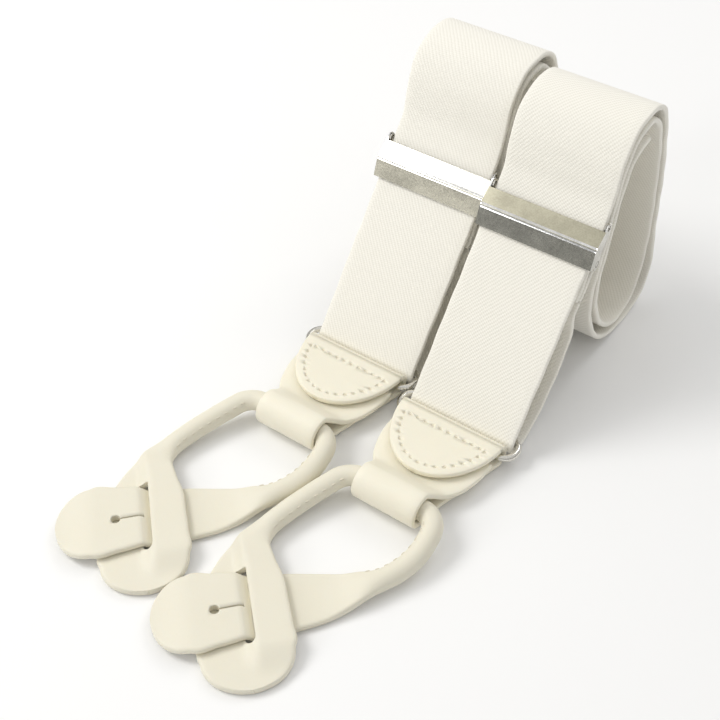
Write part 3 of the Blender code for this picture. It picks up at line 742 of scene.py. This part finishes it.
def build_cover(side, stand):
    low, high = CREASE - COVER_HALF, CREASE + COVER_HALF - 0.3
    rise = (CROWN - LOW_EDGE) / COVER_HALF
    fall = (CROWN - HIGH_EDGE) / (COVER_HALF - 0.3)
    crown = []
    for step in range(-5, 6):
        s = step * 0.15
        slope = rise if s < 0 else -fall
        crown.append((CREASE + s, CROWN + slope * s - 0.1 * (1 - (s / 0.75) ** 2)))
    under = [(low, LOW_EDGE), *crown, (high, HIGH_EDGE)]
    outer = [(along, out + SHEET) for along, out in under]
    cover = slab(f"{side}_cover", under + outer[::-1], -EAR[1], EAR[1], stand, NICKEL)
    ear = (
        (low, LOW_EDGE + SHEET), (low, 0.2), (low + 2.6, -0.9), (low + 3.6, 0.3), (low + 4.8, -1.5),
        (PIVOT[0] - 1.2, -1.5), (PIVOT[0] + 1.3, -0.6), (PIVOT[0] + 1.5, 0.6),
        (PIVOT[0] + 0.9, 1.7), (high, HIGH_EDGE + SHEET), *outer[::-1][1:-1],
    )
    for sign in (1, -1):
        span = sorted((sign * EAR[0], sign * EAR[1]))
        cut(cover, slab("ear", ear, *span, stand, NICKEL), "UNION")
    bevel = cover.modifiers.new("edges", "BEVEL")
    bevel.width = 0.16 * MM
    bevel.segments = 3
    bevel.limit_method = "ANGLE"
    bevel.angle_limit = math.radians(35)
    bevel.harden_normals = False
    paint_plate(cover, side)
    normals = cover.modifiers.new("normals", "WEIGHTED_NORMAL")
    normals.keep_sharp = True
    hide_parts(f"{side}_adjuster_cover")
    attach(cover, f"{side}_lever")
    # Pressed cross on each pivot head, drawn as thin dark slabs: painted shade in its grooves
    y, z = on_run(*PIVOT)
    for label, sign in (("outer", 1), ("inner", -1)):
        build = bmesh.new()
        center = stand + Vector((sign * (EAR[1] + PIN_STEP), y, z)) * MM
        for angle in (45, -45):
            turn = Matrix.Rotation(math.radians(angle), 4, "X")
            grow = Matrix.Diagonal((0.06 * MM, 1.5 * MM, 0.3 * MM, 1.0))
            place = Matrix.Translation(center) @ turn @ grow
            bmesh.ops.create_cube(build, size=1.0, matrix=place)
        mark = add_mesh(f"{side}_pivot_cross_shade_{label}", build, CROSS_GROOVE_SHADE, smooth=False)
        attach(mark, f"{side}_lever")


# ---------- leather ----------


def strip_section(half_left, half_right, thick):
    """A flat leather strip with eased edges, (across, out), going once round."""
    soft = min(0.5, half_left * 0.5)
    across = np.linspace(-half_left + soft, half_right - soft, 11)
    top = [(x, thick / 2) for x in across]
    low = [(x, -thick / 2) for x in across[::-1]]
    right = [
        (half_right - soft * 0.25, thick * 0.38),
        (half_right, 0.0),
        (half_right - soft * 0.25, -thick * 0.38),
    ]
    left = [
        (-half_left + soft * 0.25, -thick * 0.38),
        (-half_left, 0.0),
        (-half_left + soft * 0.25, thick * 0.38),
    ]
    return top + right + low + left


def tongue_stations():
    """(y, z, half width) from the end of the rounded flap to the tucked end."""
    wrap = WIRE / 2 + 0.75 + LEATHER / 2
    top, low = FRONT_BAR[1] + wrap, FRONT_BAR[1] - wrap
    rows = []
    for angle in np.radians(np.linspace(4, 86, 22)):
        y = FLAP_TIP + FLAP_LENGTH * (1 - math.cos(angle))
        rows.append((y, top, TONGUE_HALF * math.sin(angle)))
    rows += [(y, z, TONGUE_HALF) for y, z in arc(FRONT_BAR, wrap, 90, -90, 21)]
    turn = CORD_RADIUS + 0.55 + LEATHER / 2
    under = smooth_route([(-4.0, low), (-12.0, low), (-20.0, low), (-26.0, low + 0.02)], 1.0)[1:]
    narrowing = TONGUE_HALF - LOOP_HALF
    rows += [(y, z, TONGUE_HALF - narrowing * min(1.0, (-4.0 - y) / 26.0)) for y, z in under]
    rows += [(y, z, LOOP_HALF) for y, z in arc(CORD_AXIS, turn, -76, -300, 34)]
    last = np.array(rows[-1])
    rows += [tuple(row) for row in smooth_route([last, *TUCKED], 1.0)[1:]]
    return rows


def build_tongue(side, stand):
    rows = np.array(tongue_stations())
    ahead = np.gradient(rows[:, :2], axis=0)
    ahead /= np.linalg.norm(ahead, axis=1)[:, None]
    rings = []
    for (y, z, half), (dy, dz) in zip(rows, ahead):
        ring = []
        for x, out in strip_section(half, half, LEATHER - 0.1):
            ring.append(stand + Vector((x + TONGUE_SHIFT, y - dz * out, z + dy * out)) * MM)
        rings.append(ring)
    tongue = skin(f"{side}_tongue_hide", rings, HIDE)

    face = FRONT_BAR[1] + WIRE / 2 + 0.75 + LEATHER - 0.05
    spots = []
    for index in range(10):
        spots.append(((index - 4.5) * STITCH_PITCH, -7.2, (1.0, 0.0)))
    wide, deep = 14.0, 19.4
    angles = np.radians(np.linspace(17, 163, 400))
    path = np.array([(wide * math.cos(a), -1.9 - deep * math.sin(a)) for a in angles])
    run = np.concatenate([[0.0], np.cumsum(np.linalg.norm(np.diff(path, axis=0), axis=1))])
    count = round(run[-1] / STITCH_PITCH)
    for index in range(count + 1):
        at = run[-1] * index / count
        x, y = (np.interp(at, run, path[:, k]) for k in (0, 1))
        x2, y2 = (np.interp(at + 0.2, run, path[:, k]) for k in (0, 1))
        x1, y1 = (np.interp(at - 0.2, run, path[:, k]) for k in (0, 1))
        spots.append((x, y, (x2 - x1, y2 - y1)))
    holes = []
    for x, y, (dx, dy) in spots:
        place = stand + Vector((x + TONGUE_SHIFT, y, face)) * MM
        holes.append((place, (dx, dy, 0.0), (0, 0, 1)))
    cut(tongue, capsules("dents", holes, FLAP_DENT, PIT))
    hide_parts(f"{side}_tongue")
    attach(tongue, f"{side}_tongue")
    sunk = [(place - Vector((0, 0, 0.00036)), along, normal) for place, along, normal in holes]
    seam = capsules(f"{side}_tongue_stitches", sunk, FLAP_STITCH, THREAD)
    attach(seam, f"{side}_tongue")


def slit_place(x, y):
    """(along, across) of a point, measured from the short tab's hole along its slit."""
    dx, dy = x - SHORT_HOLE[0], y - SHORT_HOLE[1]
    along = dx * SLIT_ALONG[0] + dy * SLIT_ALONG[1]
    return along, -dx * SLIT_ALONG[1] + dy * SLIT_ALONG[0]


def lift(x, y, z, flat, is_long):
    """Height of the tab's middle: the two tabs step over one another along the slit."""
    along, across = slit_place(x, y)
    rise = TAB_HIGH - TAB_LOW
    if is_long:
        step = min(1.0, max(0.0, (SLIT_HALF - across) / (2 * SLIT_HALF)))
        level = TAB_LOW + rise * step - 1.5 * ease(-across, 13.0, 25.0)
        return z * (1 - flat) + level * flat
    step = min(1.0, max(0.0, (across + SLIT_HALF) / (2 * SLIT_HALF)))
    near = ease(along, 11.0, 2.0) if along > 2.0 else 1.0
    level = TAB_LOW + rise * step * near
    return z * (1 - flat) + level * flat


def tab_section(half, thick, flat, count=48):
    """Points of an oval that turns into a flat strip with eased edges."""
    found = []
    quarter = count // 4
    soft = 0.6
    for step in range(count):
        angle = 2 * math.pi * (step + 0.5) / count
        turn, place = divmod(step, quarter)
        rank = place if turn in (0, 2) else quarter - 1 - place
        if rank < 3:
            bend = math.pi / 2 * (rank + 0.5) / 3.5
            box_x = half - soft + soft * math.cos(bend)
            box_z = thick * math.sin(bend)
        else:
            box_x = (half - soft) * (1 - (rank - 2.5) / (quarter - 2.5))
            box_z = thick
        box_x = math.copysign(box_x, math.cos(angle))
        box_z = math.copysign(box_z, math.sin(angle))
        round_x, round_z = half * math.cos(angle), thick * math.sin(angle)
        found.append((round_x * (1 - flat) + box_x * flat, round_z * (1 - flat) + box_z * flat))
    return found


def thin_out(line, last):
    """Keep points 0.7 mm apart on the tab and closer and closer toward its round tip."""
    kept = [line[0]]
    for point in line[1:-1]:
        left = np.linalg.norm(last - point[:2])
        depth = max(0.0, 1 - left / TIP_DEPTH)
        pace = 0.7 if depth <= 0 else max(0.06, 0.7 * math.sqrt(1 - depth * depth))
        if np.linalg.norm(point[:2] - kept[-1][:2]) >= pace:
            kept.append(point)
    for left in (0.2, 0.12, 0.06, 0.02):
        kept.append(line[-1] + (line[-2] - line[-1]) * left)
    return np.array([*kept, line[-1]])


def tab_rings(stations, tip, is_long, place):
    """Sections along one tab, and the spine they stand on."""
    line = smooth_route([*stations, (*tip, 1.0, 0.0, TAB / 2)], 0.25)
    last = np.array(tip)
    broad = stations[-1][3]
    line = thin_out(line, last)
    rings, spine = [], []
    for index, (x, y, z, half, thick) in enumerate(line):
        before = line[max(0, index - 1)]
        after = line[min(len(line) - 1, index + 1)]
        ahead = (after - before)[:2]
        ahead = ahead / np.linalg.norm(ahead)
        left = np.array([-ahead[1], ahead[0]])
        flat = ease(half - thick, 0.0, 5.0)
        to_tip = np.linalg.norm(last - (x, y))
        if to_tip < TIP_DEPTH:
            depth = 1 - to_tip / TIP_DEPTH
            half = max(0.5, broad * math.sqrt(1 - depth * depth))
            thick = TAB / 2
            flat = 1.0
        ring = []
        for wide, tall in tab_section(half, thick, flat):
            px, py = x + left[0] * wide, y + left[1] * wide
            base = lift(px, py, z, flat, is_long) + (thick - TAB / 2) * flat
            ring.append(place + Vector((px, py, base + tall)) * MM)
        rings.append(ring)
        spine.append((np.array([x, y]), ahead, left, z, half, thick, flat))
    return rings, spine


def block(center, size, turn):
    build = bmesh.new()
    bmesh.ops.create_cube(build, size=1.0)
    made = add_mesh("block", build, HIDE, smooth=False)
    made.scale = size
    made.rotation_euler = (0, 0, turn)
    made.location = center
    return made


def drill(center, radius):
    build = bmesh.new()
    bmesh.ops.create_cone(
        build, segments=32, radius1=radius, radius2=radius, depth=CUTTER_HEIGHT, cap_ends=True
    )
    made = add_mesh("drill", build, HIDE, smooth=False)
    made.location = center
    return made


def build_runner(side, stand):
    place = stand + Vector((LEFT_NUDGE if side == "left" else 0.0, 0, 0)) * MM
    back_along = (-SLIT_ALONG[0], -SLIT_ALONG[1])
    long_slit = (LONG_HOLE, LONG_SLIT_ALONG, LONG_SLIT_LENGTH, LONG_SLIT_HALF)
    short_slit = (SHORT_HOLE, back_along, SLIT_LENGTH, SLIT_HALF)
    tabs = (
        ("long", LONG_TAB, LONG_TIP, long_slit),
        ("short", SHORT_TAB, SHORT_TIP, short_slit),
    )
    for label, stations, tip, (hole, (dx, dy), length, half) in tabs:
        is_long = label == "long"
        rings, spine = tab_rings(stations, tip, is_long, place)
        tab = skin(f"{side}_runner_{label}", rings, TAB_HIDE)
        x, y = hole
        center = place + Vector((x, y, 3.0)) * MM
        cut(tab, drill(center, HOLE_RADIUS * MM))
        middle = place + Vector((x + dx * length / 2, y + dy * length / 2, 3.0)) * MM
        size = (length * MM, 2 * half * MM, CUTTER_HEIGHT)
        cut(tab, block(middle, size, math.atan2(dy, dx)))
        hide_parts(f"{side}_runner")
        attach(tab, f"{side}_runner")
        # Seam along the inner side of the rolled arm
        inner = -1.0 if is_long else 1.0
        spots, travelled, previous = [], 0.0, None
        for xy, ahead, left, z, wide, thick, flat in spine:
            if previous is not None:
                travelled += np.linalg.norm(xy - previous)
            previous = xy
            if flat > 0.35 or xy[1] > SEAM_START_Y or travelled < STITCH_PITCH:
                continue
            travelled = 0.0
            angle = math.radians(38)
            side_x, side_z = inner * math.cos(angle) * wide, math.sin(angle) * thick
            px, py = xy + left * side_x
            spot = place + Vector((px, py, z + side_z)) * MM
            normal = (left[0] * side_x, left[1] * side_x, side_z)
            spots.append((spot, (ahead[0], ahead[1], 0.0), normal))
        seam = capsules(f"{side}_{label}_seam", spots, SEAM_STITCH, THREAD)
        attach(seam, f"{side}_runner")


# ---------- hidden back parts ----------


def build_back_parts():
    middle = Vector((MIDDLE_X, RING_Y, 0)) * MM
    build = bmesh.new()
    ends = []
    for z in PATCH_HEIGHTS:
        ends.append([build.verts.new(middle + Vector((x, y, z)) * MM) for x, y in PATCH_PLAN])
    for i in range(len(PATCH_PLAN)):
        j = (i + 1) % len(PATCH_PLAN)
        build.faces.new((ends[0][i], ends[0][j], ends[1][j], ends[1][i]))
    build.faces.new(ends[0][::-1])
    build.faces.new(ends[1])
    patch = add_mesh("crosspatch_hide", build, HIDE, smooth=False)
    bevel = patch.modifiers.new("edges", "BEVEL")
    bevel.width = 0.35 * MM
    bevel.segments = 3
    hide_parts("crosspatch")
    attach(patch, "webbing")

    route = smooth_route(BACK_DROP, 1.0)
    half = BACK_STRAP_WIDTH / 2
    strap, length = band("back_strap_web", route, half, WEB - 0.1, middle, WEAVE["right"])
    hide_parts("back_strap")
    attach(strap, "webbing")

    drop = smooth_route(END_DROP, 1.0)
    ahead = np.gradient(drop, axis=0)
    ahead /= np.linalg.norm(ahead, axis=1)[:, None]
    rings = []
    for (y, z), (dy, dz) in zip(drop, ahead):
        section = strip_section(END_HALF, END_HALF, END_LEATHER)
        rings.append([middle + Vector((x, y - dz * out, z + dy * out)) * MM for x, out in section])
    end = skin("back_end_hide", rings, HIDE)
    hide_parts("back_end")
    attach(end, "webbing")


# ---------- assembly ----------

for side, sign in (("right", 1), ("left", -1)):
    setback = LEFT_SETBACK if side == "left" else 0.0
    stand = Vector((MIDDLE_X + sign * SPACING / 2, RING_Y + setback, 0)) * MM
    across = stand + Vector((WEB_SHIFT, 0, 0)) * MM
    build_webbing(side, across)
    build_ring(side, stand)
    build_cover(side, lowered(side, across))
    build_tongue(side, stand)
    build_runner(side, stand)
    for part in ("adjuster_frame", "adjuster_bar", "pivot_outer", "pivot_inner"):
        data = nodes[f"{side}_{part}"].data
        data.materials.clear()
        data.materials.append(NICKEL)

build_back_parts()
